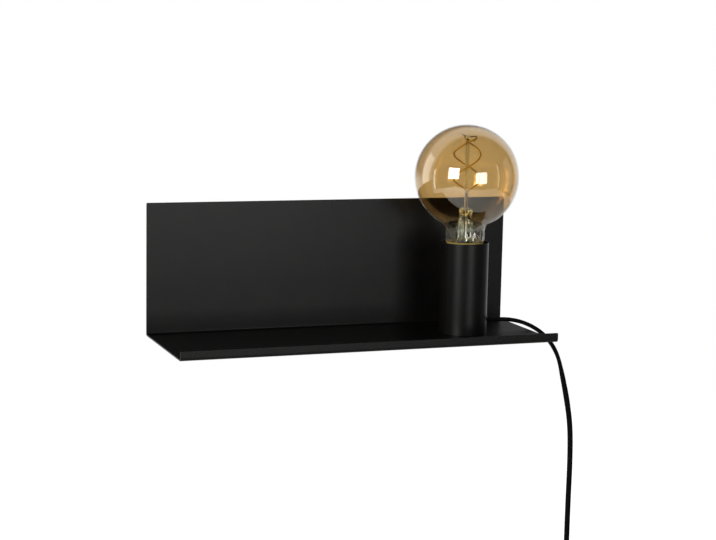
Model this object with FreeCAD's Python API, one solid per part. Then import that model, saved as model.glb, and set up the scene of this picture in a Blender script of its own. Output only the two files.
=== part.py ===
"""Wall lamp with a shelf: a bent steel sheet with a lamp holder cup, a globe bulb and a plug-in lead.

Millimetres, +Z up, the wall behind at +Y. Heights are counted from the shelf's underside and depths
from the rear face of the back, until save() moves the origin to the wall between the two keyholes.
"""

import FreeCAD
import Part

import math
import os

V = FreeCAD.Vector
UP = V(0, 0, 1)

# The body: one steel sheet bent into a back, a shelf and an upturned lip
body_width = 350.0
back_height = 120.0
shelf_depth = 124.0
lip_height = 8.5
sheet = 1.5
bend_inside = 1.5
corner_round = 1.0
overrun = 1.0  # how far a cutter goes past the face it cuts

# Keyhole hangers spot-welded behind the back, and rubber bumpers that keep its foot off the wall
hanger_spacing = 260.0
hang_height = 90.0
hanger_depth = 5.0
hanger_sheet = 1.2
hanger_bend = 0.8
hanger_top_width = 26.0
hanger_flange = 8.0
hanger_below = 12.0
hanger_above = 20.0
keyhole_radius = 5.0
keyhole_slot_radius = 2.3
keyhole_rise = 9.0
bumper_spacing = 300.0
bumper_height = 16.0
bumper_radius = 6.0
bumper_edge = 1.0

# The holder cup, a closed-bottom tube that stands on the shelf
lamp_from_right = 67.0
lamp_from_rear = 62.0
cup_radius = 22.0
cup_wall = 1.2
cup_floor = 1.5
cup_length = 84.0
cup_rim_round = 0.5

# Two screws from below clamp the shelf, the cup's floor and the feet of the bridge
cup_screw_radius = 2.0
cup_screw_spacing = 30.0
cup_screw_length = 8.0
cup_screw_head_radius = 4.0
cup_screw_head = 2.4
hole_gap = 0.2
thread_gap = 0.05

# The bridge, a bent strip that carries the lamp holder above the lead
bridge_sheet = 1.5
bridge_bend = 1.0
bridge_width = 15.0
bridge_height = 27.0
bridge_leg_spacing = 23.0
bridge_foot = 7.0

# The hollow nipple and its nut
nipple_radius = 5.0
nipple_bore = 3.6
nipple_length = 13.5
nipple_above = 6.5
nut_flats = 14.0
nut_height = 3.5

# The lamp holder: dome, contact block, sleeve and contacts
holder_radius = 19.0
dome_foot_radius = 12.0
dome_wall = 1.9
dome_height = 18.0
dome_slope_height = 8.0
dome_floor = 7.0
dome_chamber = 2.5
dome_chamber_radius = 11.0
block_radius = 14.6
block_height = 12.0
sleeve_height = 30.5
sleeve_spigot = 4.0
sleeve_spigot_wall = 2.0
sleeve_thread_length = 20.0
sleeve_edge = 1.2
fit_gap = 0.1
seat_gap = 0.3
contact_sheet = 0.5
contact_bend = 0.4
contact_width = 5.0
terminal_radius = 1.5
terminal_head_radius = 2.5
terminal_head = 1.8
terminal_depth = 6.0
terminal_from_axis = 8.0
centre_pad = 4.4
centre_tip_drop = 1.0

# The lead's way out: bush in the cup's wall, grip behind it, cores up through the nipple
lead_diameter = 5.2
lead_height = 12.2
lead_gap = 0.1
lead_end_from_axis = 8.5
bush_radius = 3.6
bush_flange_radius = 4.8
bush_flange = 2.0
bush_inner_flange = 1.4
grip_length = 8.0
grip_width = 12.0
grip_height = 15.0
grip_edge = 1.0
grip_screw_radius = 1.5
grip_screw_head_radius = 2.75
grip_screw_head = 1.8
core_radius = 1.0
core_spacing = 3.0

# The bulb: a globe of 95 on a screw cap of 27
globe_radius = 47.5
globe_centre = 145.0
glass = 0.8
neck_radius = 17.6
neck_fillet = 8.0
neck_shoulder = 7.5
neck_straight = 7.2
neck_in_cap = 3.5
cap_top = 80.5
cap_length = 19.5
cap_radius = 13.1
cap_wall = 0.4
cap_toe = 2.0
cap_toe_radius = 11.5
foot_radius = 4.6
foot_height = 2.0
foot_bulge = 0.6
insulator_height = 5.0
insulator_rim = 0.8
insulator_foot_radius = 5.2
turn_gap = 0.1
driver_board = 1.0
driver_length = 13.0
driver_part_radius = 3.4
driver_part_length = 8.0

# Inside the globe: glass stem and rod, support wires, and the two strands of the filament
stem_radius = 6.4
stem_neck_radius = 4.9
stem_head_radius = 5.9
stem_straight = 23.0
stem_waist = 5.0
stem_head = 4.0
stem_height = 36.0
stem_flange = 1.0
stem_flare_height = 8.0
stem_flare_middle = 3.0
stem_flare_hollow = 1.2
stem_top_cone = 1.5
rod_radius = 1.6
rod_top = 181.0
bead_radius = 2.3
filament_radius = 0.8
filament_coil_radius = 12.2
filament_end_radius = 2.9
filament_bottom = 132.0
filament_top = 178.0
filament_spans = 10
filament_angle = -110.5
wire_radius = 0.45
wire_foot_share = 0.7
wire_foot_depth = 2.0

# The hooks on the bead, in the upright plane at this angle: (out from the rod, height)
hook_angle = -20.5
HOOKS = [
    [(0.0, 181.6), (-5.8, 184.0)],
    [(0.0, 181.6), (9.6, 182.3), (5.3, 177.5)],
]

# The route of the lead: (out from the cup's axis, up from the bush's axis)
LEAD_ROUTE = [
    (8.5, 0.0),
    (28.5, 0.0),
    (49.0, -0.5),
    (68.0, -6.1),
    (86.0, -17.7),
    (99.2, -35.7),
    (105.6, -59.2),
    (111.3, -83.2),
    (115.6, -108.2),
    (116.7, -142.2),
    (116.2, -180.2),
    (116.2, -232.2),
]

# The in-line switch that hangs on the lead
switch_length = 62.0
switch_width = 26.0
switch_depth = 18.0
switch_wall = 1.8
switch_end_round = 9.0
switch_edge = 2.0
switch_entry = 3.0
switch_entry_land = 1.0
rocker_width = 12.0
rocker_radius = 10.8
rocker_proud = 1.0
rocker_dip = 0.9
rocker_below = 2.0
rocker_tilt = 8.0
rocker_gap = 0.25
pivot_depth = 3.4
pivot_radius = 1.5
pivot_length = 1.9
cheek_thickness = 2.2
cheek_reach = 3.6
switch_screw_radius = 1.4
switch_screw_length = 12.0
switch_screw_head_radius = 2.6
switch_screw_head = 1.6
switch_screw_spacing = 44.0
switch_boss_radius = 3.2
clip_spacing = 25.0
clip_length = 8.0
clip_height = 4.5
clip_width = 6.0

# Below the switch: (out from the lead, up from the switch's entry), then the coil and the plug
DROP_ROUTE = [
    (0.0, 0.0),
    (0.0, -20.0),
    (5.7, -41.2),
    (16.0, -59.8),
]
coil_radius = 40.0
coil_pitch = 5.8
coil_turns = 7.06
tie_width = 8.0
tie_wall = 1.0
tie_round = 1.5
TAIL_RUNS = (15.0, 14.0)

# The two-pin plug
plug_width = 35.3
plug_depth = 13.7
plug_corner = 6.0
plug_edge = 1.0
plug_block = 13.0
plug_taper = 10.0
plug_neck = 14.0
plug_neck_radius = 5.0
plug_neck_end = 3.9
pin_spacing = 19.0
pin_radius = 2.0
pin_core_radius = 1.5
pin_length = 19.0
pin_sleeve = 10.0
pin_inside = 6.0
pin_tip = 1.2

# Worked out from the sizes above
lamp_axis = V(body_width / 2 - lamp_from_right, -lamp_from_rear, 0)
lead_radius = lead_diameter / 2
cup_inside = cup_radius - cup_wall
floor_top = sheet + cup_floor
bridge_top = floor_top + bridge_height
dome_top = bridge_top + dome_height
dome_bore = holder_radius - dome_wall
block_bottom = bridge_top + dome_floor + dome_chamber
block_top = block_bottom + block_height
sleeve_top = dome_top + sleeve_height
cap_bottom = cap_top - cap_length
insulator_top = cap_bottom - turn_gap
insulator_bottom = insulator_top - insulator_height
foot_bottom = insulator_bottom - foot_height / 2
neck_foot_radius = cap_radius - cap_wall - fit_gap


def xz(u, v):
    return V(u, 0, v)


def yz(u, v):
    return V(0, u, v)


def xy(u, v):
    return V(u, v, 0)


def line(a, b):
    return Part.LineSegment(a, b).toShape()


def outline(steps, plane=xz):
    """A flat closed face. A step is a corner, or a pair: a point that an arc passes and its end."""
    start = at = plane(*steps[0])
    edges = []
    for step in steps[1:]:
        if isinstance(step[0], tuple):
            via, end = plane(*step[0]), plane(*step[1])
            edges.append(Part.Arc(at, via, end).toShape())
        else:
            end = plane(*step)
            edges.append(line(at, end))
        at = end
    edges.append(line(at, start))
    return Part.Face(Part.Wire(edges))


def backwards(steps):
    """The same steps, run from the last corner to the first."""
    ends = [step[1] if isinstance(step[0], tuple) else step for step in steps]
    back = [ends[-1]]
    for step, before in zip(steps[:0:-1], ends[-2::-1]):
        back.append((step[0], before) if isinstance(step[0], tuple) else before)
    return back


def turned(steps):
    """A solid turned about the vertical axis from (radius, height) steps."""
    return outline(steps).revolve(V(0, 0, 0), UP, 360)


def rod(radius, a, b):
    return Part.makeCylinder(radius, (b - a).Length, a, b - a)


def upright(radius, bottom, top, x=0.0, y=0.0):
    return rod(radius, V(x, y, bottom), V(x, y, top))


def box(x, y, z):
    """A box between three pairs of limits."""
    return Part.makeBox(x[1] - x[0], y[1] - y[0], z[1] - z[0], V(x[0], y[0], z[0]))


def rounded_rectangle(half_x, half_y, corner, height):
    """A closed level wire of four sides and four corner arcs."""
    arcs = []
    for quarter, (side_x, side_y) in enumerate(((1, 1), (-1, 1), (-1, -1), (1, -1))):
        centre = V(side_x * (half_x - corner), side_y * (half_y - corner), height)
        angles = [math.radians(90 * quarter + part) for part in (0, 45, 90)]
        arcs.append([centre + V(math.cos(a), math.sin(a), 0) * corner for a in angles])
    edges = []
    for arc, following in zip(arcs, arcs[1:] + arcs[:1]):
        edges.append(Part.Arc(*arc).toShape())
        edges.append(line(arc[2], following[0]))
    return Part.Wire(edges)


def hexagon(flats, bottom, top):
    radius = flats / 2 / math.cos(math.pi / 6)
    angles = [k * math.pi / 3 for k in range(7)]
    corners = [V(radius * math.cos(a), radius * math.sin(a), bottom) for a in angles]
    return Part.Face(Part.makePolygon(corners)).extrude(V(0, 0, top - bottom))


def rounded_steps(points, left_radius, right_radius):
    """Outline steps through 2D points, each corner rounded by the radius for the way it turns."""
    steps = [points[0]]
    for before, corner, after in zip(points, points[1:], points[2:]):
        corner = xy(*corner)
        into = (corner - xy(*before)).normalize()
        out = (xy(*after) - corner).normalize()
        radius = left_radius if into.cross(out).z > 0 else right_radius
        half = into.getAngle(out) / 2
        reach = radius * math.tan(half)
        middle = corner + (out - into).normalize() * (radius / math.cos(half) - radius)
        start, end = corner - into * reach, corner + out * reach
        steps += [(start.x, start.y), ((middle.x, middle.y), (end.x, end.y))]
    return steps + [points[-1]]


def shifted_right(points, distance):
    """2D points moved to the right of the way they run, mitred at their corners."""
    normals = [V(b[1] - a[1], a[0] - b[0], 0).normalize() for a, b in zip(points, points[1:])]
    pairs = zip([normals[0]] + normals, normals + [normals[-1]])
    moves = [(m + n) * (distance / (1 + m.dot(n))) for m, n in pairs]
    return [(x + move.x, y + move.y) for (x, y), move in zip(points, moves)]


def bent_strip(points, thickness, inside, plane, along):
    """Sheet bent through the 2D points of its left face, and as wide as the vector along."""
    left = rounded_steps(points, inside, inside + thickness)
    right = rounded_steps(shifted_right(points, thickness)[::-1], inside, inside + thickness)
    return outline(left + right, plane).extrude(along)


def arc_middle(start, tangent, end):
    """The middle of the arc that leaves start along the tangent and reaches end."""
    chord = end - start
    outward = tangent - chord * (tangent.dot(chord) / chord.dot(chord))
    if outward.Length < 1e-9:
        return start + chord * 0.5
    rise = chord.Length / 2 * math.tan(tangent.getAngle(chord) / 2)
    return start + chord * 0.5 + outward.normalize() * rise


def biarcs(curve, stops):
    """Edges along a curve: two tangent arcs from each stop to the next."""
    step = 1e-4
    points = [curve(s) for s in stops]
    tangents = [(curve(s + step) - curve(s - step)).normalize() for s in stops]
    edges = []
    for p, q, leaving, arriving in zip(points, points[1:], tangents, tangents[1:]):
        chord = q - p
        bend = 2 * (1 - leaving.dot(arriving))
        ahead = chord.dot(leaving + arriving)
        reach = (math.sqrt(ahead**2 + bend * chord.dot(chord)) - ahead) / bend
        joint = (p + q + (leaving - arriving) * reach) * 0.5
        edges.append(Part.Arc(p, arc_middle(p, leaving, joint), joint).toShape())
        edges.append(Part.Arc(joint, arc_middle(q, arriving * -1, joint), q).toShape())
    return edges


def route(points):
    """A wire of straight runs joined by tangent arcs, as large as the shorter run beside allows."""
    edges, radii = [], []
    at = points[0]
    for before, corner, after in zip(points, points[1:], points[2:]):
        into, out = corner - before, after - corner
        reach = 0.45 * min(into.Length, out.Length)
        into.normalize()
        out.normalize()
        half = into.getAngle(out) / 2
        radius = reach / math.tan(half)
        middle = corner + (out - into).normalize() * (radius / math.cos(half) - radius)
        edges.append(line(at, corner - into * reach))
        edges.append(Part.Arc(corner - into * reach, middle, corner + out * reach).toShape())
        at = corner + out * reach
        radii.append(round(radius, 1))
    edges.append(line(at, points[-1]))
    return Part.Wire(edges), radii


def tube(wire, radius, start, direction):
    ring = Part.Wire([Part.makeCircle(radius, start, direction)])
    return wire.makePipeShell([ring], True, False)


def report_tube(name, solid, wire, radius, radii):
    ratio = solid.Volume / (math.pi * radius**2 * wire.Length)
    print(name, "length", round(wire.Length, 1), "volume ratio", round(ratio, 4), "radii", radii)


def least_gap(wire, diameter):
    """The least clear distance between stretches of one tube that aren't next to each other."""
    spacing = 1.5
    points = wire.discretize(Distance=spacing)
    apart = int(3 * diameter / spacing)
    pairs = ((p - q).Length for i, p in enumerate(points) for q in points[i + apart :])
    return min(pairs) - diameter


def lead_tube(name, points):
    wire, radii = route(points)
    solid = tube(wire, lead_radius, points[0], points[1] - points[0])
    report_tube(name, solid, wire, lead_radius, radii)
    return solid


def at_lamp(shape):
    shape.translate(lamp_axis)
    return shape


def on_edges(shape, radius, chosen):
    """The shape with a fillet on the edges that chosen() accepts."""
    return shape.makeFillet(radius, [e for e in shape.Edges if chosen(e.BoundBox)])


def crown(radius, rise):
    """The point halfway along a round crown: its distances from the axis and from the top."""
    ball = (radius**2 + rise**2) / (2 * rise)
    half = math.atan(rise / radius)
    return ball * math.sin(half), ball * (1 - math.cos(half))


def pan_screw(radius, length, head_radius, head):
    """A round-headed screw that points up, its head under the level 0."""
    out, rise = crown(head_radius, head)
    steps = [
        (0, -head),
        ((out, rise - head), (head_radius, 0)),
        (radius, 0),
        (radius, length),
        (0, length),
    ]
    return turned(steps)


def sheet_body():
    """The bent sheet, with the two screw holes under the cup."""
    points = [(0, back_height), (0, 0), (-shelf_depth, 0), (-shelf_depth, lip_height)]
    body = bent_strip(points, sheet, bend_inside, yz, V(body_width, 0, 0))
    body.translate(V(-body_width / 2, 0, 0))

    def free_corner(b):
        top = min(abs(b.ZMin - back_height), abs(b.ZMin - lip_height)) < 1e-3
        return b.XLength < 1e-3 and b.ZLength < 1e-3 and top

    body = on_edges(body, corner_round, free_corner)
    for side in (-1, 1):
        y = side * cup_screw_spacing / 2
        body = body.cut(at_lamp(upright(cup_screw_radius + hole_gap, -overrun, sheet + overrun, 0, y)))
    return body


def hanger_plate(x):
    """A dished plate with a keyhole in its raised face."""
    half = hanger_top_width / 2
    points = [
        (x - half - hanger_flange, hanger_sheet),
        (x - half, hanger_sheet),
        (x - half, hanger_depth),
        (x + half, hanger_depth),
        (x + half, hanger_sheet),
        (x + half + hanger_flange, hanger_sheet),
    ]
    height = V(0, 0, hanger_below + hanger_above)
    plate = bent_strip(points, hanger_sheet, hanger_bend, xy, height)
    plate.translate(V(0, 0, hang_height - hanger_below))
    front, back = hanger_depth - hanger_sheet - overrun, hanger_depth + overrun
    slot_top = hang_height + keyhole_rise
    slot = (x - keyhole_slot_radius, x + keyhole_slot_radius)
    for radius, z in ((keyhole_radius, hang_height), (keyhole_slot_radius, slot_top)):
        plate = plate.cut(rod(radius, V(x, front, z), V(x, back, z)))
    return plate.cut(box(slot, (front, back), (hang_height, slot_top)))


def wall_bumper(x):
    bumper = rod(bumper_radius, V(x, 0, bumper_height), V(x, hanger_depth, bumper_height))
    return on_edges(bumper, bumper_edge, lambda b: abs(b.YMin - hanger_depth) < 1e-3)


def holder_cup():
    """The tube that hides the lamp holder, with the lead's hole in its side."""
    top = sheet + cup_length
    cup = upright(cup_radius, sheet, top).cut(upright(cup_inside, floor_top, top + overrun))
    cup = on_edges(cup, cup_rim_round, lambda b: abs(b.ZMin - top) < 1e-3)
    for side in (-1, 1):
        y = side * cup_screw_spacing / 2
        cup = cup.cut(upright(cup_screw_radius + hole_gap, 0, floor_top + overrun, 0, y))
    start = V(0, 0, lead_height)
    hole = rod(bush_radius + thread_gap, start, start + V(cup_radius + overrun, 0, 0))
    return cup.cut(hole)


def cup_screws():
    screws = []
    for side in (-1, 1):
        screw = pan_screw(cup_screw_radius, cup_screw_length, cup_screw_head_radius, cup_screw_head)
        screw.translate(V(0, side * cup_screw_spacing / 2, 0))
        screws.append(screw)
    return Part.makeCompound(screws)


def holder_bridge():
    """The strip whose feet are tapped for the cup's screws and whose top holds the nipple."""
    leg = bridge_leg_spacing / 2
    foot = floor_top + bridge_sheet
    points = [
        (-leg - bridge_foot, foot),
        (-leg, foot),
        (-leg, bridge_top),
        (leg, bridge_top),
        (leg, foot),
        (leg + bridge_foot, foot),
    ]
    bridge = bent_strip(points, bridge_sheet, bridge_bend, yz, V(bridge_width, 0, 0))
    bridge.translate(V(-bridge_width / 2, 0, 0))
    for side in (-1, 1):
        y = side * cup_screw_spacing / 2
        bottom, top = floor_top - overrun, foot + overrun
        bridge = bridge.cut(upright(cup_screw_radius + thread_gap, bottom, top, 0, y))
    bottom, top = bridge_top - bridge_sheet - overrun, bridge_top + overrun
    return bridge.cut(upright(nipple_radius + hole_gap, bottom, top))


def nipple():
    top = bridge_top + nipple_above
    bottom = top - nipple_length
    bore = upright(nipple_bore, bottom - overrun, top + overrun)
    return upright(nipple_radius, bottom, top).cut(bore)


def nipple_nut():
    top = bridge_top - bridge_sheet
    bottom = top - nut_height
    bore = upright(nipple_radius + thread_gap, bottom - overrun, top + overrun)
    return hexagon(nut_flats, bottom, top).cut(bore)


def holder_dome():
    """The holder's lower half: threaded foot, a chamber for the cores, a ledge for the block."""
    bore = nipple_radius + thread_gap
    steps = [
        (bore, bridge_top),
        (dome_foot_radius, bridge_top),
        (holder_radius, bridge_top + dome_slope_height),
        (holder_radius, dome_top),
        (dome_bore, dome_top),
        (dome_bore, dome_top - sleeve_spigot - seat_gap),
        (block_radius + seat_gap, dome_top - sleeve_spigot - seat_gap),
        (block_radius + seat_gap, block_bottom),
        (dome_chamber_radius, block_bottom),
        (dome_chamber_radius, bridge_top + dome_floor),
        (bore, bridge_top + dome_floor),
    ]
    return turned(steps)


def contact_block():
    """The insulating block, with a tapped hole for each terminal screw."""
    block = upright(block_radius, block_bottom, block_top)
    for side in (-1, 1):
        x = side * terminal_from_axis
        top, bottom = block_top + overrun, block_top - terminal_depth - seat_gap
        block = block.cut(upright(terminal_radius + thread_gap, bottom, top, x))
    return block


def holder_sleeve():
    """The holder's upper half: a spigot in the dome, and the bore that takes the bulb's cap."""
    spigot = dome_bore - fit_gap
    chamber = spigot - sleeve_spigot_wall
    bore = cap_radius + fit_gap
    thread_bottom = sleeve_top - sleeve_thread_length
    steps = [
        (chamber, dome_top - sleeve_spigot),
        (spigot, dome_top - sleeve_spigot),
        (spigot, dome_top),
        (holder_radius, dome_top),
        (holder_radius, sleeve_top - sleeve_edge),
        (holder_radius - sleeve_edge, sleeve_top),
        (bore + sleeve_edge, sleeve_top),
        (bore, sleeve_top - sleeve_edge),
        (bore, thread_bottom),
        (chamber, thread_bottom - (chamber - bore)),
    ]
    return turned(steps)


def contact(points, side):
    """A bent contact with a hole over one terminal, its top face through (x, z) points."""
    strip = bent_strip(points, contact_sheet, contact_bend, xz, V(0, contact_width, 0))
    strip.translate(V(0, -contact_width / 2, 0))
    bottom, top = block_top - overrun, block_top + contact_sheet + overrun
    return strip.cut(upright(terminal_radius + hole_gap, bottom, top, side * terminal_from_axis))


def centre_contact():
    """The tongue that rises from the live terminal to just under the bulb's foot."""
    base = block_top + contact_sheet
    top = foot_bottom - seat_gap
    out = terminal_from_axis + contact_width / 2
    points = [
        (-out, base),
        (-foot_radius, base),
        (-centre_pad / 2, top),
        (centre_pad / 2, top),
        (centre_pad, top - centre_tip_drop),
    ]
    return contact(points, -1)


def side_contact():
    """The tongue that rises from the neutral terminal to the toe of the bulb's cap."""
    base = block_top + contact_sheet
    inside = terminal_from_axis - contact_width / 2
    beside_toe = (3 * cap_toe_radius + cap_radius) / 4 + fit_gap
    top = cap_bottom + cap_toe / 4
    return contact([(inside, base), (beside_toe, base), (beside_toe, top)], 1)


def terminal_screws():
    screws = []
    for side in (-1, 1):
        screw = pan_screw(terminal_radius, terminal_depth, terminal_head_radius, terminal_head)
        screw.rotate(V(0, 0, 0), V(1, 0, 0), 180)
        screw.translate(V(side * terminal_from_axis, 0, block_top + contact_sheet))
        screws.append(screw)
    return Part.makeCompound(screws)


def bush_faces():
    """Distances from the cup's axis: inner end, inner shoulder, outer shoulder, outer end."""
    inner = math.sqrt(cup_inside**2 - bush_flange_radius**2) - thread_gap
    outer = cup_radius + thread_gap
    return inner - bush_inner_flange, inner, outer, outer + bush_flange


def cord_bush():
    """The round bush in the cup's side hole."""
    inner_end, inner, outer, outer_end = bush_faces()
    bore = lead_radius + lead_gap
    round_off = bush_flange / 2
    steps = [
        (bore, inner_end),
        (bush_flange_radius, inner_end),
        (bush_flange_radius, inner),
        (bush_radius, inner),
        (bush_radius, outer),
        (bush_flange_radius, outer),
        (bush_flange_radius, outer + round_off),
        (bush_flange_radius - round_off, outer_end),
        (bore, outer_end),
    ]
    bush = turned(steps)
    bush.rotate(V(0, 0, 0), V(0, 1, 0), 90)
    bush.translate(V(0, 0, lead_height))
    return bush


def grip_ends():
    outer = bush_faces()[0] - seat_gap
    return outer - grip_length, outer


def cord_grip():
    """The block that stops the lead from being pulled out or twisted."""
    x = grip_ends()
    top = floor_top + grip_height
    half = grip_width / 2
    grip = box(x, (-half, half), (floor_top, top))
    grip = on_edges(grip, grip_edge, lambda b: abs(b.ZMin - top) < 1e-3 and b.YLength < 1e-3)
    ends = [V(end, 0, lead_height) for end in (x[0] - overrun, x[1] + overrun)]
    bore = rod(lead_radius + lead_gap, *ends)
    screw_hole = upright(grip_screw_radius + thread_gap, lead_height, top + overrun, sum(x) / 2)
    return grip.cut(bore).cut(screw_hole)


def grip_screw():
    top = floor_top + grip_height
    length = top - lead_height - lead_radius - seat_gap
    screw = pan_screw(grip_screw_radius, length, grip_screw_head_radius, grip_screw_head)
    screw.rotate(V(0, 0, 0), V(1, 0, 0), 180)
    screw.translate(V(sum(grip_ends()) / 2, 0, top))
    return screw


def inner_core(side):
    """One insulated core, from the end of the lead's sheath up to the contact block."""
    y = side * core_spacing / 2
    points = [
        V(lead_end_from_axis, y, lead_height),
        V(0, y, lead_height),
        V(0, y, block_bottom),
    ]
    wire, radii = route(points)
    solid = tube(wire, core_radius, points[0], V(-1, 0, 0))
    report_tube("core", solid, wire, core_radius, radii)
    return solid


def globe_wall(inset):
    """Steps up the glass, from the foot of the neck to the top of the globe."""
    foot, neck = neck_foot_radius - inset, neck_radius - inset
    sphere, fillet = globe_radius - inset, neck_fillet + inset
    across, apart = neck + fillet, sphere + fillet
    fillet_height = globe_centre - math.sqrt(apart**2 - across**2)
    straight = fillet_height - neck_straight
    drop, step_in = neck_shoulder, neck - foot
    bend = (step_in**2 + drop**2) / (2 * step_in)
    half = math.asin(drop / bend) / 2
    shoulder = (neck - bend + bend * math.cos(half), straight - bend * math.sin(half))
    rise = math.acos(across / apart)
    hollow = (across - fillet * math.cos(rise / 2), fillet_height + fillet * math.sin(rise / 2))
    joint = (sphere * across / apart, globe_centre - sphere * math.sin(rise))
    around = (math.pi / 2 - rise) / 2
    side = (sphere * math.cos(around), globe_centre + sphere * math.sin(around))
    return [
        (foot, cap_top - neck_in_cap),
        (foot, straight - drop),
        (shoulder, (neck, straight)),
        (neck, fillet_height),
        (hollow, joint),
        (side, (0, globe_centre + sphere)),
    ]


def bulb_globe():
    return turned(globe_wall(0) + backwards(globe_wall(glass)))


def bulb_cap():
    """The cap's shell, drawn in at its toe."""
    steps = [
        (cap_toe_radius, cap_bottom),
        (cap_radius, cap_bottom + cap_toe),
        (cap_radius, cap_top),
        (cap_radius - cap_wall, cap_top),
        (cap_radius - cap_wall, cap_bottom + cap_toe + cap_wall),
        (cap_toe_radius - cap_wall, cap_bottom + cap_wall),
        (cap_toe_radius - cap_wall, cap_bottom),
    ]
    return turned(steps)


def bulb_insulator():
    recess = foot_radius + thread_gap
    steps = [
        (0, insulator_top),
        (cap_toe_radius, insulator_top),
        (cap_toe_radius, insulator_top - insulator_rim),
        (insulator_foot_radius, insulator_bottom),
        (recess, insulator_bottom),
        (recess, foot_bottom + foot_height),
        (0, foot_bottom + foot_height),
    ]
    return turned(steps)


def bulb_foot():
    top = foot_bottom + foot_height
    out, rise = crown(foot_radius, foot_bulge)
    steps = [
        (0, foot_bottom),
        ((out, foot_bottom + rise), (foot_radius, foot_bottom + foot_bulge)),
        (foot_radius, top),
        (0, top),
    ]
    return turned(steps)


def bulb_driver():
    """The small circuit board that stands in the cap, with its largest part."""
    half = cap_radius - cap_wall - seat_gap
    bottom = cap_bottom + cap_toe + cap_wall + seat_gap
    face = driver_board / 2
    board = box((-half, half), (-face, face), (bottom, bottom + driver_length))
    y = face + driver_part_radius - 0.1
    middle = bottom + driver_length / 2
    half_part = driver_part_length / 2
    return board.fuse(upright(driver_part_radius, middle - half_part, middle + half_part, 0, y))


def stem_base():
    return globe_wall(0)[1][1]


def bulb_stem():
    """The glass stem: a flare sealed in the neck, a waisted tube, a rod and its bead."""
    base = stem_base()
    flare = neck_foot_radius - glass - thread_gap
    straight_end = base + stem_straight
    waist = straight_end + stem_waist
    head = waist + stem_waist
    top = base + stem_height
    hollow = ((flare + stem_radius) / 2 - stem_flare_hollow, base + stem_flare_middle)
    steps = [
        (0, base - stem_flange),
        (flare, base - stem_flange),
        (flare, base),
        (hollow, (stem_radius, base + stem_flare_height)),
        (stem_radius, straight_end),
        ((stem_neck_radius, waist), (stem_head_radius, head)),
        (stem_head_radius, top - stem_top_cone),
        (rod_radius, top),
        (rod_radius, rod_top - math.sqrt(bead_radius**2 - rod_radius**2)),
        ((bead_radius, rod_top), (0, rod_top + bead_radius)),
    ]
    return turned(steps)


def strand_point(side, share):
    """A point of one filament strand: one turn of a helix, drawn in at both ends."""
    taper = 1 - abs(2 * share - 1) ** 6
    radius = filament_end_radius + (filament_coil_radius - filament_end_radius) * taper
    angle = math.radians(filament_angle + 180 * side + 360 * share)
    height = filament_bottom + (filament_top - filament_bottom) * share
    return V(radius * math.cos(angle), radius * math.sin(angle), height)


def bulb_filament():
    """The two strands, each one unbroken tube."""
    stops = [k / filament_spans for k in range(filament_spans + 1)]
    strands = []
    for side in (0, 1):
        wire = Part.Wire(biarcs(lambda s: strand_point(side, s), stops))
        start = strand_point(side, 0)
        strand = tube(wire, filament_radius, start, strand_point(side, 1e-4) - start)
        report_tube("filament", strand, wire, filament_radius, [])
        print("filament least gap", round(least_gap(wire, 2 * filament_radius), 2))
        strands.append(strand)
    return Part.makeCompound(strands)


def bulb_supports():
    """The wires that hold the strands: two from the stem's head, and those on the bead."""
    clear = filament_radius + seat_gap + wire_radius
    stem_end = stem_base() + stem_height - wire_foot_depth
    wires = []
    for side in (0, 1):
        bottom, top = strand_point(side, 0), strand_point(side, 1)
        foot = V(bottom.x, bottom.y, 0) * (stem_head_radius * wire_foot_share / filament_end_radius)
        wires.append(rod(wire_radius, V(foot.x, foot.y, stem_end), bottom - UP * clear))
        wires.append(rod(wire_radius, V(0, 0, rod_top), top + UP * clear))
    angle = math.radians(hook_angle)
    arm = V(math.cos(angle), math.sin(angle), 0)
    for hook in HOOKS:
        points = [arm * out + UP * height for out, height in hook]
        wire, _ = route(points)
        wires.append(tube(wire, wire_radius, points[0], points[1] - points[0]))
    stem = bulb_stem()
    return Part.makeCompound([solid for wire in wires for solid in wire.cut(stem).Solids])


def lead_start():
    return lamp_axis + V(0, 0, lead_height)


def cord_lead():
    return lead_tube("cord_lead", [lead_start() + xz(*p) for p in LEAD_ROUTE])


def switch_centre():
    end = lead_start() + xz(*LEAD_ROUTE[-1])
    return end + UP * (switch_entry - switch_length / 2)


def tray(depth):
    """Half of the switch's housing, open upwards, its rounded floor at level 0."""
    half_width, half_length = switch_width / 2, switch_length / 2
    outside = Part.Face(rounded_rectangle(half_width, half_length, switch_end_round, 0))
    shell = outside.extrude(V(0, 0, depth))
    shell = on_edges(shell, switch_edge, lambda b: b.ZMax < 1e-3)
    inner = (half_width - switch_wall, half_length - switch_wall, switch_end_round - switch_wall)
    room = Part.Face(rounded_rectangle(*inner, switch_wall)).extrude(V(0, 0, depth))
    shell = shell.cut(room)
    for side in (-1, 1):
        y = side * switch_screw_spacing / 2
        shell = shell.fuse(upright(switch_boss_radius, switch_wall / 2, depth, 0, y))
    notch = rod(lead_radius + lead_gap, V(0, -switch_length, depth), V(0, switch_length, depth))
    middle = box((-switch_width, switch_width), (-clear_length(), clear_length()), (0, 2 * depth))
    return shell.cut(notch.cut(middle)).removeSplitter()


def clear_length():
    """Half the length between the two lead entries inside the switch."""
    return switch_length / 2 - switch_wall - switch_entry_land


def switch_base():
    base = tray(switch_depth / 2)
    for side in (-1, 1):
        y = side * switch_screw_spacing / 2
        base = base.cut(upright(switch_screw_radius + hole_gap, -overrun, switch_depth, 0, y))
    base.rotate(V(0, 0, 0), V(1, 0, 0), 90)
    base.translate(switch_centre() + V(0, switch_depth / 2, 0))
    return base


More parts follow.
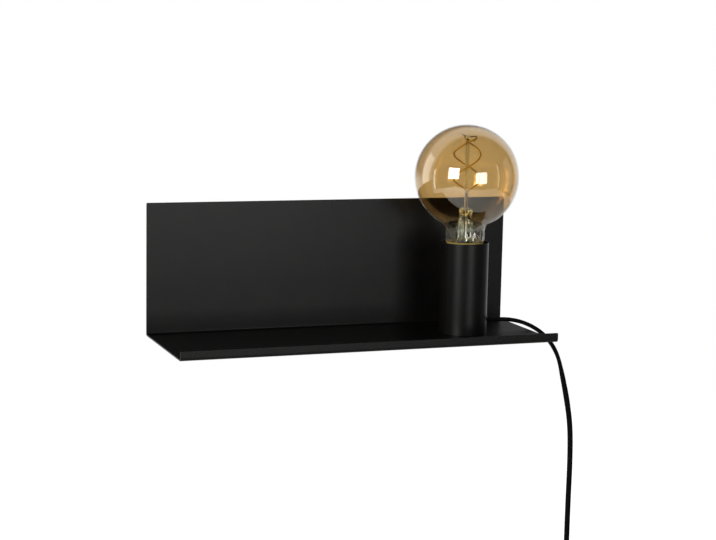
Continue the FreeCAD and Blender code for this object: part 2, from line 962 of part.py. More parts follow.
def switch_cover():
    """The front half, with the rocker's window and the cheeks that carry its pivots."""
    cover = tray(switch_depth / 2)
    half = rocker_width / 2 + rocker_gap
    reach = rocker_radius + rocker_gap
    cheek = (half, half + cheek_thickness)
    depth = (switch_wall / 2, pivot_depth + cheek_reach)
    for side in (1, -1):
        x = sorted(side * value for value in cheek)
        cover = cover.fuse(box(x, (-cheek_reach, cheek_reach), depth))
        y = side * switch_screw_spacing / 2
        cover = cover.cut(upright(switch_screw_radius + thread_gap, switch_wall, switch_depth, 0, y))
    cover = cover.cut(box((-half, half), (-reach, reach), (-overrun, switch_depth)))
    end = V(cheek[1] + overrun, 0, 0)
    pivot = rod(pivot_radius + thread_gap, end * -1, end)
    pivot.translate(V(0, 0, pivot_depth))
    cover = cover.cut(pivot).removeSplitter()
    cover.rotate(V(0, 0, 0), V(1, 0, 0), -90)
    cover.translate(switch_centre() - V(0, switch_depth / 2, 0))
    return cover


def rocker_pivot():
    return switch_centre() + V(0, pivot_depth - switch_depth / 2, 0)


def switch_rocker():
    """The rocker, its ends round about its pivot, tilted to one side."""
    top = pivot_depth + rocker_proud
    end_top = math.sqrt(rocker_radius**2 - top**2)
    end_bottom = math.sqrt(rocker_radius**2 - rocker_below**2)
    steps = [
        (rocker_below, -end_bottom),
        ((0, -rocker_radius), (-top, -end_top)),
        (rocker_dip - top, 0),
        (-top, end_top),
        ((0, rocker_radius), (rocker_below, end_bottom)),
    ]
    half = rocker_width / 2
    rocker = outline(steps, yz).extrude(V(rocker_width, 0, 0))
    rocker.translate(V(-half, 0, 0))
    rocker = rocker.fuse(rod(pivot_radius, V(-half - pivot_length, 0, 0), V(half + pivot_length, 0, 0)))
    rocker.rotate(V(0, 0, 0), V(1, 0, 0), rocker_tilt)
    rocker.translate(rocker_pivot())
    return rocker.removeSplitter()


def switch_clips():
    """Two bent brass clips on the floor of the switch's base."""
    clips = []
    floor = switch_depth / 2 - switch_wall
    for side in (-1, 1):
        z = side * clip_spacing / 2
        ends = (z - clip_length / 2, z + clip_length / 2)
        points = [
            (floor - clip_height, ends[0]),
            (floor, ends[0]),
            (floor, ends[1]),
            (floor - clip_height, ends[1]),
        ]
        clip = bent_strip(points[::-1], contact_sheet, contact_bend, yz, V(clip_width, 0, 0))
        clip.translate(switch_centre() - V(clip_width / 2, 0, 0))
        clips.append(clip)
    return Part.makeCompound(clips)


def switch_screws():
    screws = []
    for side in (-1, 1):
        sizes = (switch_screw_length, switch_screw_head_radius, switch_screw_head)
        screw = pan_screw(switch_screw_radius, *sizes)
        screw.rotate(V(0, 0, 0), V(1, 0, 0), 90)
        screw.translate(switch_centre() + V(0, switch_depth / 2, side * switch_screw_spacing / 2))
        screws.append(screw)
    return Part.makeCompound(screws)


def drop_points():
    start = switch_centre() + UP * (switch_entry - switch_length / 2)
    return [start + xz(*p) for p in DROP_ROUTE]


def coil_point(turn):
    """The coil's centreline about its own centre: in to the middle of its turns and out again."""
    middle = coil_turns / 2
    radius = coil_radius - coil_pitch * min(turn, coil_turns - turn)
    climb = min(max(2 * (turn - middle) + 0.5, 0), 1)
    angle = -2 * math.pi * turn
    depth = coil_pitch * climb**2 * (3 - 2 * climb)
    return V(radius * math.cos(angle), -depth, radius * math.sin(angle))


def coil_frame():
    """Where the coil lies: its centre, and its turn about Y that lines it up with the drop."""
    points = drop_points()
    arriving = (points[-1] - points[-2]).normalize()
    leaving = (coil_point(1e-4) - coil_point(0)).normalize()
    turn = math.atan2(arriving.x, arriving.z) - math.atan2(leaving.x, leaving.z)
    spin = FreeCAD.Rotation(V(0, 1, 0), math.degrees(turn))
    start = points[-1] + arriving * lead_diameter
    return start - spin.multVec(coil_point(0)), spin


def placed_coil_point(turn):
    centre, spin = coil_frame()
    return centre + spin.multVec(coil_point(turn))


def coil_end():
    """The point where the lead leaves the coil, and the way it goes."""
    last = placed_coil_point(coil_turns)
    ahead = (last - placed_coil_point(coil_turns - 1e-4)).normalize()
    return last + ahead * lead_diameter, ahead


def cord_coil():
    """The put-away length: turns side by side in two layers, with straight ends."""
    half = coil_turns / 2 - 0.25
    quarters = round(half / 0.25)
    first = [half * k / quarters for k in range(quarters + 1)]
    stops = first + [coil_turns / 2] + [coil_turns - s for s in reversed(first)]
    start = drop_points()[-1]
    end, _ = coil_end()
    turns = biarcs(placed_coil_point, stops)
    edges = [line(start, placed_coil_point(0))] + turns + [line(placed_coil_point(coil_turns), end)]
    wire = Part.Wire(edges)
    coil = tube(wire, lead_radius, start, placed_coil_point(0) - start)
    report_tube("cord_coil", coil, wire, lead_radius, [])
    print("coil least gap", round(least_gap(wire, lead_diameter), 2))
    return coil


def coil_tie():
    """The band round all the turns, halfway between the coil's two ends."""
    whole = math.floor(coil_turns)
    turn = (coil_turns - whole) / 2
    outer, inner = (coil_point(t).Length for t in (turn, turn + whole // 2))
    bulge = inner - math.sqrt(inner**2 - tie_width**2 / 4) + coil_pitch * tie_width / inner / 12
    outside = outer + lead_radius + seat_gap
    inside = inner - lead_radius - seat_gap - bulge
    half_x = (outside - inside) / 2
    half_y = coil_pitch / 2 + lead_radius + seat_gap
    bore = rounded_rectangle(half_x, half_y, tie_round, -tie_width / 2)
    skin = rounded_rectangle(half_x + tie_wall, half_y + tie_wall, tie_round + tie_wall, -tie_width / 2)
    band = Part.Face([skin, bore]).extrude(V(0, 0, tie_width))
    band.translate(V((outside + inside) / 2, -coil_pitch / 2, 0))
    band.rotate(V(0, 0, 0), V(0, 1, 0), 360 * turn)
    centre, spin = coil_frame()
    band.rotate(V(0, 0, 0), spin.Axis, math.degrees(spin.Angle))
    band.translate(centre)
    return band


def tail_points():
    start, ahead = coil_end()
    bend = start + ahead * TAIL_RUNS[0]
    return [start, bend, bend - UP * TAIL_RUNS[1]]


def cord_drop():
    return lead_tube("cord_drop", drop_points())


def cord_tail():
    return lead_tube("cord_tail", tail_points())


def plug_body():
    """The moulded plug: ribbed neck, a taper and the flat body with its two pin sleeves."""
    neck = turned([
        (0, 0),
        (plug_neck_end, 0),
        (plug_neck_radius, -plug_neck),
        (0, -plug_neck),
    ])
    throat = plug_neck_radius - 0.01
    top = rounded_rectangle(plug_neck_radius, plug_neck_radius, throat, -plug_neck)
    block = -plug_neck - plug_taper
    waist = rounded_rectangle(plug_width / 2, plug_depth / 2, plug_corner, block)
    body = neck.fuse(Part.makeLoft([top, waist], True, True))
    face = block - plug_block
    body = body.fuse(Part.Face(waist).extrude(V(0, 0, -plug_block)))
    body = on_edges(body, plug_edge, lambda b: abs(b.ZMax - face) < 1e-3)
    for side in (-1, 1):
        x = side * pin_spacing / 2
        body = body.fuse(upright(pin_radius, face - pin_sleeve, face, x))
        body = body.cut(upright(pin_core_radius, face - pin_sleeve, face + pin_inside, x))
    body.translate(tail_points()[-1])
    return body


def plug_pins():
    """Two brass pins: thin in their sleeves, full at their round tips."""
    pins = []
    face = -plug_neck - plug_taper - plug_block
    tip = face - pin_length
    corner = pin_tip * (1 - math.sqrt(0.5))
    for side in (-1, 1):
        steps = [
            (0, face + pin_inside),
            (pin_core_radius, face + pin_inside),
            (pin_core_radius, face - pin_sleeve),
            (pin_radius, face - pin_sleeve),
            (pin_radius, tip + pin_tip),
            ((pin_radius - corner, tip + corner), (pin_radius - pin_tip, tip)),
            (0, tip),
        ]
        pin = turned(steps)
        pin.translate(tail_points()[-1] + V(side * pin_spacing / 2, 0, 0))
        pins.append(pin)
    return Part.makeCompound(pins)


def save(name, shape):
    """Writes one piece, moved so that the origin lies on the wall between the keyholes."""
    shape.translate(V(0, -hanger_depth, -hang_height))
    shape.exportStep(os.path.join("parts", name + ".step"))


def both(piece, spacing):
    return Part.makeCompound([piece(-spacing / 2), piece(spacing / 2)])


def main():
    os.makedirs("parts", exist_ok=True)
    save("sheet_body", sheet_body())
    save("hanger_plates", both(hanger_plate, hanger_spacing))
    save("wall_bumpers", both(wall_bumper, bumper_spacing))
    in_lamp = {
        "holder_cup": holder_cup(),
        "cup_screws": cup_screws(),
        "holder_bridge": holder_bridge(),
        "nipple": nipple(),
        "nipple_nut": nipple_nut(),
        "holder_dome": holder_dome(),
        "contact_block": contact_block(),
        "holder_sleeve": holder_sleeve(),
        "centre_contact": centre_contact(),
        "side_contact": side_contact(),
        "terminal_screws": terminal_screws(),
        "cord_bush": cord_bush(),
        "cord_grip": cord_grip(),
        "grip_screw": grip_screw(),
        "core_live": inner_core(-1),
        "core_neutral": inner_core(1),
        "bulb_globe": bulb_globe(),
        "bulb_cap": bulb_cap(),
        "bulb_insulator": bulb_insulator(),
        "bulb_foot": bulb_foot(),
        "bulb_driver": bulb_driver(),
        "bulb_stem": bulb_stem(),
        "bulb_filament": bulb_filament(),
        "bulb_supports": bulb_supports(),
    }
    for name, shape in in_lamp.items():
        save(name, at_lamp(shape))
    on_lead = {
        "cord_lead": cord_lead(),
        "switch_base": switch_base(),
        "switch_cover": switch_cover(),
        "switch_rocker": switch_rocker(),
        "switch_clips": switch_clips(),
        "switch_screws": switch_screws(),
        "cord_drop": cord_drop(),
        "cord_coil": cord_coil(),
        "coil_tie": coil_tie(),
        "cord_tail": cord_tail(),
        "plug_body": plug_body(),
        "plug_pins": plug_pins(),
    }
    for name, shape in on_lead.items():
        save(name, shape)


main()
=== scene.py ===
"""Looks of a wall lamp with a shelf: black powder-coated steel, amber globe bulb and flat lead.

Sizes are in millimetres from the shelf's underside and the rear face of the back. place() turns
them into metres from the wall, midway between the two keyholes.
"""

import math

import bmesh
import bpy
from mathutils import Matrix, Vector


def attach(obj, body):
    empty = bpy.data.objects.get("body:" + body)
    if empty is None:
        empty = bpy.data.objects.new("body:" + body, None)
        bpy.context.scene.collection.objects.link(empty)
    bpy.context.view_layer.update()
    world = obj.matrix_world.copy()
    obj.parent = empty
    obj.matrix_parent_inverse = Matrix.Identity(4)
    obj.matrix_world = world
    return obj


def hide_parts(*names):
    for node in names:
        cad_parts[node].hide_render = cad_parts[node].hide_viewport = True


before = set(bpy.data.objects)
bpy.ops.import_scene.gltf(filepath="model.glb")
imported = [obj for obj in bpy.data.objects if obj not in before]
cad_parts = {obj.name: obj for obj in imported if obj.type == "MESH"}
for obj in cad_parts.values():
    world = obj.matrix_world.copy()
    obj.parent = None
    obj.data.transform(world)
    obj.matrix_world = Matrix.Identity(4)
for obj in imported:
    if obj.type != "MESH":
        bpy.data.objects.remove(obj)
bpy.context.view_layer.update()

MM = 0.001
# Points of a mesh that are closer than this, in metres, become one.
MERGE = 1e-7

# From the wall to the back, and from the shelf's underside up to the keyholes
WALL_GAP, HANG_HEIGHT = 5.0, 90.0
# The bent sheet, its gauge and the inner radius of its bends
HALF_LENGTH, BACK_HEIGHT, SHELF_DEPTH, LIP_HEIGHT = 175.0, 120.0, 124.0, 8.5
SHEET, BEND = 1.5, 1.5
# The tube's axis, and the height at which the lead leaves it
LAMP_X, LAMP_Y = 108.0, -62.0
LEAD_HEIGHT = 12.2
CORD_WIDTH, CORD_THICKNESS = 5.4, 3.7


def place(x, y, z):
    return Vector((x, y - WALL_GAP, z - HANG_HEIGHT)) * MM


def at_lamp(x, y, z):
    return place(LAMP_X + x, LAMP_Y + y, z)


# ---------------------------------------------------------------- materials


def colour(code):
    """An sRGB hex code as linear RGBA."""
    parts = [int(code[i : i + 2], 16) / 255 for i in (1, 3, 5)]
    return [c / 12.92 if c <= 0.04045 else ((c + 0.055) / 1.055) ** 2.4 for c in parts] + [1.0]


def add_node(tree, kind, links=None, **settings):
    """Adds one node. links gives each input a value or another node's output."""
    made = tree.nodes.new(kind)
    for key, value in settings.items():
        setattr(made, key, value)
    for key, value in (links or {}).items():
        if isinstance(value, bpy.types.NodeSocket):
            tree.links.new(value, made.inputs[key])
        else:
            made.inputs[key].default_value = value
    return made


def new_finish(name):
    finish = bpy.data.materials.new(name)
    finish.use_nodes = True
    tree = finish.node_tree
    tree.nodes.clear()
    return finish, tree


def speckle(tree, size, stretch):
    """A pattern on the piece's own place, whose patches are about size millimetres across."""
    where = add_node(tree, "ShaderNodeTexCoord").outputs["Object"]
    drawn = add_node(tree, "ShaderNodeMapping", {"Vector": where, "Scale": stretch}).outputs[0]
    grain = {"Vector": drawn, "Scale": 1 / (size * MM), "Detail": 2.0}
    return add_node(tree, "ShaderNodeTexNoise", grain).outputs["Fac"]


# A finish's clouds are this many grains across. The ranges are the parts of the two patterns in
# which its tone and its gloss change, and its roughness strays by this share.
CLOUD_GRAINS = 24
TONE_RANGE, GLOSS_RANGE = (0.35, 0.65), (0.3, 0.7)
STRAY = 0.1


def finish_of(name, tones, roughness, grain, depth, metallic=0.0, stretch=(1, 1, 1), **sockets):
    """A finish of one substance. Its grain, in millimetres, moves its gloss and raises its surface
    by the depth, and clouds drift between its two tones.
    """
    finish, tree = new_finish(name)
    fine, clouds = speckle(tree, grain, stretch), speckle(tree, CLOUD_GRAINS * grain, stretch)
    drift = {0: clouds, "From Min": TONE_RANGE[0], "From Max": TONE_RANGE[1]}
    share = add_node(tree, "ShaderNodeMapRange", drift).outputs[0]
    tone = {0: share, 6: colour(tones[0]), 7: colour(tones[1])}
    gloss = {
        0: fine,
        "From Min": GLOSS_RANGE[0],
        "From Max": GLOSS_RANGE[1],
        "To Min": (1 - STRAY) * roughness,
        "To Max": (1 + STRAY) * roughness,
    }
    relief = {"Height": fine, "Distance": depth * MM}
    skin = {
        "Base Color": add_node(tree, "ShaderNodeMix", tone, data_type="RGBA").outputs[2],
        "Roughness": add_node(tree, "ShaderNodeMapRange", gloss).outputs[0],
        "Normal": add_node(tree, "ShaderNodeBump", relief).outputs[0],
        "Metallic": metallic,
        **sockets,
    }
    shader = add_node(tree, "ShaderNodeBsdfPrincipled", skin)
    add_node(tree, "ShaderNodeOutputMaterial", {0: shader.outputs[0]})
    return finish


MATT = {"Specular IOR Level": 0.03}
DULL = {"Specular IOR Level": 0.14}
SOFT = {"Specular IOR Level": 0.3}

# Matt polyester powder, baked on: black and a little warm, with fine orange peel that spreads each
# light into a soft band.
POWDER_COAT = finish_of("powder_coat", ("#060505", "#080706"), 0.35, 0.8, 0.01, **DULL)
# Zinc plated steel, clear passivated: bluish grey, clouded.
ZINC_PLATE = finish_of("zinc_plate", ("#a6abb0", "#bfc0bb"), 0.34, 0.9, 0.006, 1.0)
# A weld's heat mark in zinc: straw and grey.
HEAT_MARK = finish_of("weld_mark", ("#8d887c", "#6f6a63"), 0.45, 0.4, 0.01, 1.0)
# Black oxide on steel: almost black, oily, with a dull metal shine.
BLACK_OXIDE = finish_of("black_oxide", ("#1b1b1d", "#28272a"), 0.4, 0.5, 0.005, 0.6)
# Moulded rubber: dead matt, with a little bloom.
RUBBER = finish_of("moulded_rubber", ("#131313", "#1c1c1b"), 0.82, 0.6, 0.02, **SOFT)
# ABS from a spark-eroded mould: satin, with an even pebble.
SATIN_ABS = finish_of("satin_abs", ("#0b0b0c", "#0f0f10"), 0.42, 0.45, 0.015, **DULL)
# Thermoset of the lamp holder: black and smoother than the paint.
THERMOSET = finish_of("black_thermoset", ("#0d0c0c", "#12100f"), 0.3, 0.8, 0.006, **SOFT)
# Urea moulding: cream, with faint flow marks.
UREA = finish_of("cream_urea", ("#d8d0bd", "#cfc6b0"), 0.35, 0.8, 0.006)
# Stamped brass: yellow, with rolling lines.
BRASS = finish_of("stamped_brass", ("#c8a455", "#b8934a"), 0.26, 0.3, 0.004, 1.0, (1, 1, 0.1))
# Lacquered brass of the bulb's cap: drawing marks run round it.
CAP_TONES = ("#c9b06a", "#bba05a")
CAP_BRASS = finish_of("lacquered_brass", CAP_TONES, 0.22, 0.4, 0.004, 1.0, (0.2, 0.2, 2))
# Tinned contact: pale grey, wiped with solder.
TINNED = finish_of("tinned_contact", ("#c9c9c6", "#b5b4b0"), 0.33, 0.7, 0.02, 1.0)
# Insulating glass of the cap: black and glossy, with ripples.
BLACK_GLASS = finish_of("cap_glass", ("#060607", "#0b0b0c"), 0.08, 1.6, 0.02)
# Drawn support wire, oxidised: brown grey.
WIRE_TONES = ("#5b4c38", "#433626")
SUPPORT_WIRE = finish_of("oxidised_wire", WIRE_TONES, 0.38, 0.3, 0.004, 1.0, (1, 1, 0.2))
# Phosphor in silicone: matt, yellow by itself and amber through the glass.
PHOSPHOR = finish_of("phosphor_skin", ("#c6a54c", "#b69642"), 0.55, 0.4, 0.02, **SOFT)
# Circuit board: white solder mask over glass cloth.
BOARD = finish_of("solder_mask", ("#d9ddd2", "#ccd2c2"), 0.4, 0.5, 0.01)
# Soft PVC of the lead: near black, matt, with faint lines from the die.
PVC_LEAD = finish_of("pvc_lead", ("#050505", "#080809"), 0.55, 0.5, 0.006, **MATT)
# The two cores' insulation.
CORE_BROWN = finish_of("brown_core", ("#5b3116", "#522b12"), 0.4, 0.5, 0.004)
CORE_BLUE = finish_of("blue_core", ("#1f4c93", "#1a4486"), 0.4, 0.5, 0.004)
# Pad-printed ink of the switch's marks: flat and chalky.
MARK_INK = finish_of("white_ink", ("#d6d6d2", "#cacac6"), 0.6, 0.2, 0.003)
# Basing cement between glass and cap: olive, gritty and matt.
CEMENT = finish_of("basing_cement", ("#8f7d42", "#7d6c36"), 0.7, 0.3, 0.02, **SOFT)


def glass_skin(name, tint, mirror_index, sheen="#ffffff", bare_below=None, coated_above=None):
    """One face of blown glass. It tints what is behind it and mirrors more towards its edges, the
    same from both sides, with a sheen. A lustre may fade out between two heights.
    """
    finish, tree = new_finish(name)
    seen_through = colour(tint)
    if bare_below is not None:
        where = add_node(tree, "ShaderNodeTexCoord").outputs["Object"]
        height = add_node(tree, "ShaderNodeSeparateXYZ", {0: where}).outputs[2]
        low, high = (place(0, 0, level).z for level in (bare_below, coated_above))
        limits = {0: height, "From Min": low, "From Max": high}
        coat = add_node(tree, "ShaderNodeMapRange", limits).outputs[0]
        bare = colour("#f6f6f3")
        tones = {0: coat, 6: bare, 7: colour(tint)}
        seen_through = add_node(tree, "ShaderNodeMix", tones, data_type="RGBA").outputs[2]
    inner_face = add_node(tree, "ShaderNodeNewGeometry").outputs["Backfacing"]
    both_sides = {0: inner_face, "To Min": mirror_index, "To Max": 1 / mirror_index}
    index = add_node(tree, "ShaderNodeMapRange", both_sides).outputs[0]
    mirror = {"Color": colour(sheen), "Roughness": 0.0}
    shares = {
        0: add_node(tree, "ShaderNodeFresnel", {"IOR": index}).outputs[0],
        1: add_node(tree, "ShaderNodeBsdfTransparent", {"Color": seen_through}).outputs[0],
        2: add_node(tree, "ShaderNodeBsdfGlossy", mirror).outputs[0],
    }
    skin = add_node(tree, "ShaderNodeMixShader", shares).outputs[0]
    add_node(tree, "ShaderNodeOutputMaterial", {0: skin})
    return finish


def pressed_glass(name, tint, index):
    """Thick glass that bends what is seen through it."""
    finish, tree = new_finish(name)
    wave, drawn_out, rise = 1.5, (1, 1, 0.3), 0.02
    ripple = {"Height": speckle(tree, wave, drawn_out), "Distance": rise * MM}
    skin = {
        "Color": colour(tint),
        "Roughness": 0.0,
        "IOR": index,
        "Normal": add_node(tree, "ShaderNodeBump", ripple).outputs[0],
    }
    glass = add_node(tree, "ShaderNodeBsdfGlass", skin)
    add_node(tree, "ShaderNodeOutputMaterial", {0: glass.outputs[0]})
    return finish


# Blown soda glass, bare outside. Its index is raised for the bright rim that the photo shows.
CLEAR_GLASS = glass_skin("clear_glass", "#fafaf8", 1.72)
# The transparent amber lustre inside: it mirrors as much as dense glass, and fades out at the neck.
AMBER_LUSTRE = glass_skin("amber_lustre", "#e3cca0", 1.7, "#f9eed6", 96.0, 118.0)
# Pressed glass of the stem, faintly green.
STEM_GLASS = pressed_glass("stem_glass", "#eff1ea", 1.5)


# ---------------------------------------------------------------- mesh makers


def closed_mesh(name, points, faces):
    """A mesh with its doubles merged and its faces pointing outwards."""
    mesh = bpy.data.meshes.new(name)
    mesh.from_pydata([tuple(p) for p in points], [], faces)
    shell = bmesh.new()
    shell.from_mesh(mesh)
    bmesh.ops.remove_doubles(shell, verts=shell.verts, dist=MERGE)
    bmesh.ops.delete(shell, geom=[e for e in shell.edges if not e.link_faces], context="EDGES")
    bmesh.ops.recalc_face_normals(shell, faces=shell.faces)
    shell.to_mesh(mesh)
    shell.free()
    return mesh


def add_object(name, mesh):
    thing = bpy.data.objects.new(name, mesh)
    bpy.context.scene.collection.objects.link(thing)
    return thing


def new_piece(name, mesh, finish, body, smooth_angle=35.0):
    """A piece that rides on a body and takes the finish that it is given."""
    piece = add_object(name, mesh)
    mesh.materials.clear()
    mesh.materials.append(finish)
    mesh.shade_smooth()
    mesh.set_sharp_from_angle(angle=math.radians(smooth_angle))
    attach(piece, body)
    return piece


def as_plain_mesh(thing):
    """The mesh that the object's modifiers make. The object loses them."""
    graph = bpy.context.evaluated_depsgraph_get()
    mesh = bpy.data.meshes.new_from_object(thing.evaluated_get(graph))
    thing.modifiers.clear()
    return mesh


def row_tree():
    """Copies of one small form in a straight row, each one wider than the last by the growth."""
    tree = bpy.data.node_groups.new("row_of_small_forms", "GeometryNodeTree")
    kinds = {
        "Form": "NodeSocketGeometry",
        "Count": "NodeSocketInt",
        "Start": "NodeSocketVector",
        "Step": "NodeSocketVector",
        "Growth": "NodeSocketFloat",
        "Finish": "NodeSocketMaterial",
    }
    for name, kind in kinds.items():
        tree.interface.new_socket(name=name, in_out="INPUT", socket_type=kind)
    tree.interface.new_socket(name="Row", in_out="OUTPUT", socket_type="NodeSocketGeometry")
    given = add_node(tree, "NodeGroupInput").outputs
    line = {"Count": given["Count"], "Start Location": given["Start"], "Offset": given["Step"]}
    points = add_node(tree, "GeometryNodeMeshLine", line, mode="OFFSET", count_mode="TOTAL")
    grown = {0: add_node(tree, "GeometryNodeInputIndex").outputs[0], 1: given["Growth"], 2: 1.0}
    width = add_node(tree, "ShaderNodeMath", grown, operation="MULTIPLY_ADD").outputs[0]
    scale = add_node(tree, "ShaderNodeCombineXYZ", {0: width, 1: width, 2: 1.0}).outputs[0]
    copies = {"Points": points.outputs[0], "Instance": given["Form"], "Scale": scale}
    placed = add_node(tree, "GeometryNodeInstanceOnPoints", copies).outputs[0]
    whole = add_node(tree, "GeometryNodeRealizeInstances", {0: placed}).outputs[0]
    coated = {"Geometry": whole, "Material": given["Finish"]}
    done = add_node(tree, "GeometryNodeSetMaterial", coated).outputs[0]
    add_node(tree, "NodeGroupOutput", {0: done})
    return tree


ROW_TREE = row_tree()


def row_mesh(form, finish, count, start, step, growth=0.0):
    """A mesh of count copies of the form, the first one at start."""
    thing = add_object("form", form)
    row = thing.modifiers.new("row", "NODES")
    row.node_group = ROW_TREE
    sizes = {
        "Count": count,
        "Start": tuple(start),
        "Step": tuple(step),
        "Growth": growth,
        "Finish": finish,
    }
    for socket in ROW_TREE.interface.items_tree:
        if socket.name in sizes:
            row[socket.identifier] = sizes[socket.name]
    mesh = as_plain_mesh(thing)
    bpy.data.objects.remove(thing)
    return mesh


def joined(parts):
    """One list of points and one of faces from several."""
    points, faces = [], []
    for part_points, part_faces in parts:
        faces += [tuple(i + len(points) for i in face) for face in part_faces]
        points += part_points
    return points, faces


def stacked(rings):
    """Points and faces of a form through rings of equally many points, closed at both ends."""
    count = len(rings[0])
    points = [p for ring in rings for p in ring]
    faces = []
    for row in range(len(rings) - 1):
        for i in range(count):
            a, b = row * count + i, row * count + (i + 1) % count
            faces.append((a, b, b + count, a + count))
    last = (len(rings) - 1) * count
    faces += [tuple(range(count - 1, -1, -1)), tuple(range(last, last + count))]
    return points, faces


def turned(profile, steps, where, radius_at=None):
    """Points and faces of a closed (radius, height) profile turned about an upright axis."""
    points, faces = [], []
    for radius, height in profile:
        for step in range(steps):
            angle = 2 * math.pi * step / steps
            r = radius_at(radius, height, angle) if radius_at else radius
            points.append(where(r * math.cos(angle), r * math.sin(angle), height))
    for row in range(len(profile)):
        here, under = row * steps, (row + 1) % len(profile) * steps
        for step in range(steps):
            beside = (step + 1) % steps
            faces.append((here + step, here + beside, under + beside, under + step))
    return points, faces


def turned_piece(name, profile, finish, body, steps=96, radius_at=None, smooth_angle=35.0):
    mesh = closed_mesh(name, *turned(profile, steps, at_lamp, radius_at))
    return new_piece(name, mesh, finish, body, smooth_angle)


def arc(centre, radius, start, end, steps):
    """Points of an arc, angles in degrees."""
    angles = [math.radians(start + (end - start) * k / steps) for k in range(steps + 1)]
    return [(centre[0] + radius * math.cos(a), centre[1] + radius * math.sin(a)) for a in angles]


def about(axis_x, axis_y, height):
    """Placing for a form whose own axis stands at that place."""
    return lambda x, y, z: place(axis_x + x, axis_y + y, height + z)


def by_itself(x, y, z):
    """Placing for a form that a row carries to its place."""
    return Vector((x, y, z)) * MM


# ---------------------------------------------------------------- camera and lead


def aim_camera():
    """The photograph's view: from the left and a little above."""
    yaw, pitch, roll = (math.radians(a) for a in (20.51658, 8.17181, 1.11702))
    reach = math.cos(pitch)
    ahead = Vector((math.sin(yaw) * reach, math.cos(yaw) * reach, -math.sin(pitch)))
    level = Vector((math.cos(yaw), -math.sin(yaw), 0))
    above = level.cross(ahead)
    right = level * math.cos(roll) + above * math.sin(roll)
    up = above * math.cos(roll) - level * math.sin(roll)
    lens = bpy.data.cameras.new("camera")
    lens.lens, lens.sensor_width, lens.clip_end = 84.447, 36.0, 50.0
    camera = bpy.data.objects.new("camera", lens)
    turn = Matrix((right, up, -ahead)).transposed()
    camera.matrix_world = Matrix.Translation(place(-518.405, -1458.010, 276.749)) @ turn.to_4x4()
    bpy.context.scene.collection.objects.link(camera)
    bpy.context.scene.camera = camera
    return {"ahead": ahead, "right": right, "up": up}


VIEW = aim_camera()

# (out from the cup's axis, up from the bush's axis)
LEAD_ROUTE = [
    (8.5, 0.0),
    (28.5, 0.0),
    (49.0, -0.5),
    (68.0, -6.1),
    (86.0, -17.7),
    (99.2, -35.7),
    (105.6, -59.2),
    (111.3, -83.2),
    (115.6, -108.2),
    (116.7, -142.2),
    (116.2, -180.2),
    (116.2, -232.2),
]
SWITCH_RUN = 56.0
# (out from the lead, up from the switch's lower entry)
DROP_ROUTE = [(0.0, 0.0), (0.0, -20.0), (5.7, -41.2), (16.0, -59.8)]
COIL_CENTRE = (208.189, -360.540)
COIL_START_ANGLE = 30.316
COIL_RADIUS, COIL_PITCH, COIL_TURNS = 40.0, 5.8, 7.06
POINTS_A_TURN = 16
TAIL_ROUTE = [(251.254, -374.368), (251.254, -388.368)]
TWIST_START, TWIST_END = 90.0, 148.0


def coil_point(turn):
    """The coil's line: in to the middle of its turns, over to the second layer and out again."""
    middle = COIL_TURNS / 2
    radius = COIL_RADIUS - COIL_PITCH * min(turn, COIL_TURNS - turn)
    climb = min(max(2 * (turn - middle) + 0.5, 0), 1)
    angle = math.radians(COIL_START_ANGLE - 360 * turn)
    depth = COIL_PITCH * climb**2 * (3 - 2 * climb)
    x, z = COIL_CENTRE[0] + radius * math.cos(angle), COIL_CENTRE[1] + radius * math.sin(angle)
    return x, LAMP_Y - depth, z


def lead_route():
    """The stops of the whole lead, from inside the bush to the plug."""
    start = (LAMP_X, LEAD_HEIGHT)
    points = [(start[0] + x, LAMP_Y, start[1] + z) for x, z in LEAD_ROUTE]
    foot = (points[-1][0], points[-1][2] - SWITCH_RUN)
    points += [(foot[0] + x, LAMP_Y, foot[1] + z) for x, z in DROP_ROUTE]
    count = round(COIL_TURNS * POINTS_A_TURN)
    points += [coil_point(COIL_TURNS * k / count) for k in range(count + 1)]
    points += [(x, LAMP_Y - COIL_PITCH, z) for x, z in TAIL_ROUTE]
    return [place(*p) for p in points]


def spline_points(points):
    """The points that a smooth spline through the route follows."""
    curve = bpy.data.curves.new("smooth_line", "CURVE")
    curve.dimensions = "3D"
    spline = curve.splines.new("NURBS")
    spline.points.add(len(points) - 1)
    for point, where in zip(spline.points, points):
        point.co = (*where, 1.0)
    spline.order_u = 3
    spline.use_endpoint_u = True
    spline.resolution_u = 8
    carrier = bpy.data.objects.new("smooth_line", curve)
    bpy.context.scene.collection.objects.link(carrier)
    bpy.context.view_layer.update()
    mesh = bpy.data.meshes.new_from_object(carrier)
    path = [v.co.copy() for v in mesh.vertices]
    bpy.data.objects.remove(carrier)
    bpy.data.meshes.remove(mesh)
    apart = 1e-6
    return path[:1] + [b for a, b in zip(path, path[1:]) if (b - a).length > apart]


def flat_section(steps=5):
    """The oval of a flat two-core lead, as (across, through) in millimetres."""
    round_end, groove_depth = CORD_THICKNESS / 2, 0.12
    flat = CORD_WIDTH / 2 - round_end
    right = arc((flat, 0), round_end, -90, 90, steps)
    left = arc((-flat, 0), round_end, 90, 270, steps)
    groove = round_end - groove_depth
    return right + [(0, groove)] + left + [(0, -groove)]


def swept(path, section, across_at):
    """Points and faces of a section swept along a path, with flat ends."""
    rings = []
    for k, here in enumerate(path):
        ahead = (path[min(k + 1, len(path) - 1)] - path[max(k - 1, 0)]).normalized()
        across = across_at(k, ahead)
        across = (across - ahead * across.dot(ahead)).normalized()
        through = ahead.cross(across)
        rings.append([here + (across * u + through * v) * MM for u, v in section])
    return stacked(rings)


